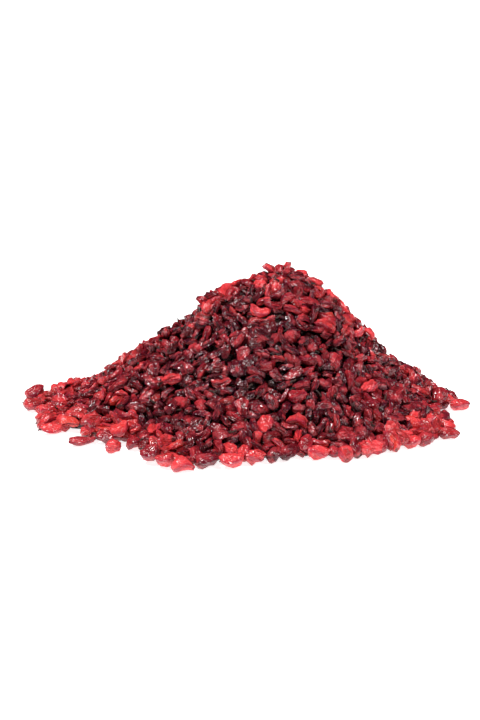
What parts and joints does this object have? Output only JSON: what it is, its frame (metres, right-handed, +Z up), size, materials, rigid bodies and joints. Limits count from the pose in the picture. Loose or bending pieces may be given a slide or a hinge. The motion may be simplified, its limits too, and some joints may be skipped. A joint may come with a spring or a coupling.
{
  "type": "dried barberry heap",
  "caption": "Low cone-shaped heap of small oblong dried red barberries, poured out on a bare table, with a flat underside to rest on.",
  "frame": {"origin": "on the table, at the middle of the heap's footprint box", "axes": "+X to the right along the heap's longest side, +Y to its back, +Z up; the pictured side faces -Y"},
  "size_m": [0.1664, 0.1224, 0.0522],
  "materials": {
    "berry_skin": "dried berry skin, scarlet to garnet, wrinkled lengthways, thin and a little translucent, with small soft highlights",
    "dark_berry_skin": "older dried berry skin, dark plum to nearly black, wrinkled, satin",
    "stalk": "dry blackish brown stalk ends, matt"
  },
  "bodies": {
    "root": {"barberry_heap": "berry_skin"}
  },
  "joints": []
}
